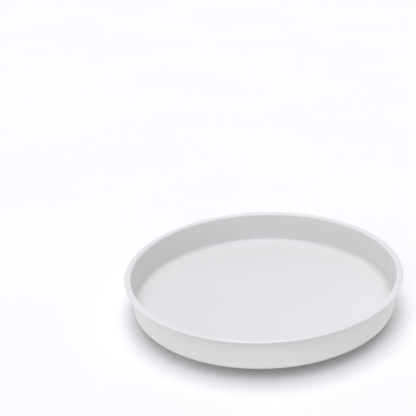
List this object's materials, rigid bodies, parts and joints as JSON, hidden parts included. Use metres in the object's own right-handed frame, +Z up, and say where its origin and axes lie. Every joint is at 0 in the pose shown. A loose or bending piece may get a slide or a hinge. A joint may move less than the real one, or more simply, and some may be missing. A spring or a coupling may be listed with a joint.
{
  "type": "lazy susan turntable",
  "caption": "Round steel tray with a low wall and rolled rim that turns on a ball race above a low base pan with rubber feet.",
  "frame": {"origin": "on the spin axis, in the plane that the six feet stand on", "axes": "+Z up along the spin axis, +X through the centre of foot_1"},
  "size_m": [0.305, 0.305, 0.0522],
  "materials": {
    "white_powder_coat": "matte",
    "zinc_plate": "satin",
    "ball_steel": "polished",
    "nylon": "satin",
    "acetal": "satin",
    "insert_nylon": "satin",
    "foot_rubber": "matte"
  },
  "bodies": {
    "base": {"base_pan": "white_powder_coat", "lower_race": "zinc_plate", "race_rivets": "zinc_plate", "hub_bush": "acetal", "foot_1": "foot_rubber", "foot_2": "foot_rubber", "foot_3": "foot_rubber", "foot_4": "foot_rubber", "foot_5": "foot_rubber", "foot_6": "foot_rubber"},
    "turntable": {"tray_pan": "white_powder_coat", "upper_race": "zinc_plate", "weld_studs": "zinc_plate", "stud_nuts": "zinc_plate", "centre_stud": "zinc_plate", "retaining_washer": "zinc_plate", "lock_nut": "zinc_plate", "lock_nut_insert": "insert_nylon"},
    "cage": {"ball_cage": "nylon", "bearing_balls": "ball_steel"}
  },
  "joints": [
    {"name": "tray_spin", "type": "hinge", "parent": "base", "child": "turntable", "pos_m": [0, 0, 0.01125], "axis": [0, 0, 1], "continuous": true},
    {"name": "cage_orbit", "type": "hinge", "parent": "base", "child": "cage", "pos_m": [0, 0, 0.01125], "axis": [0, 0, 1], "continuous": true}
  ],
  "couplings": [
    {"joint": "cage_orbit", "follows": "tray_spin", "ratio": 0.5}
  ]
}
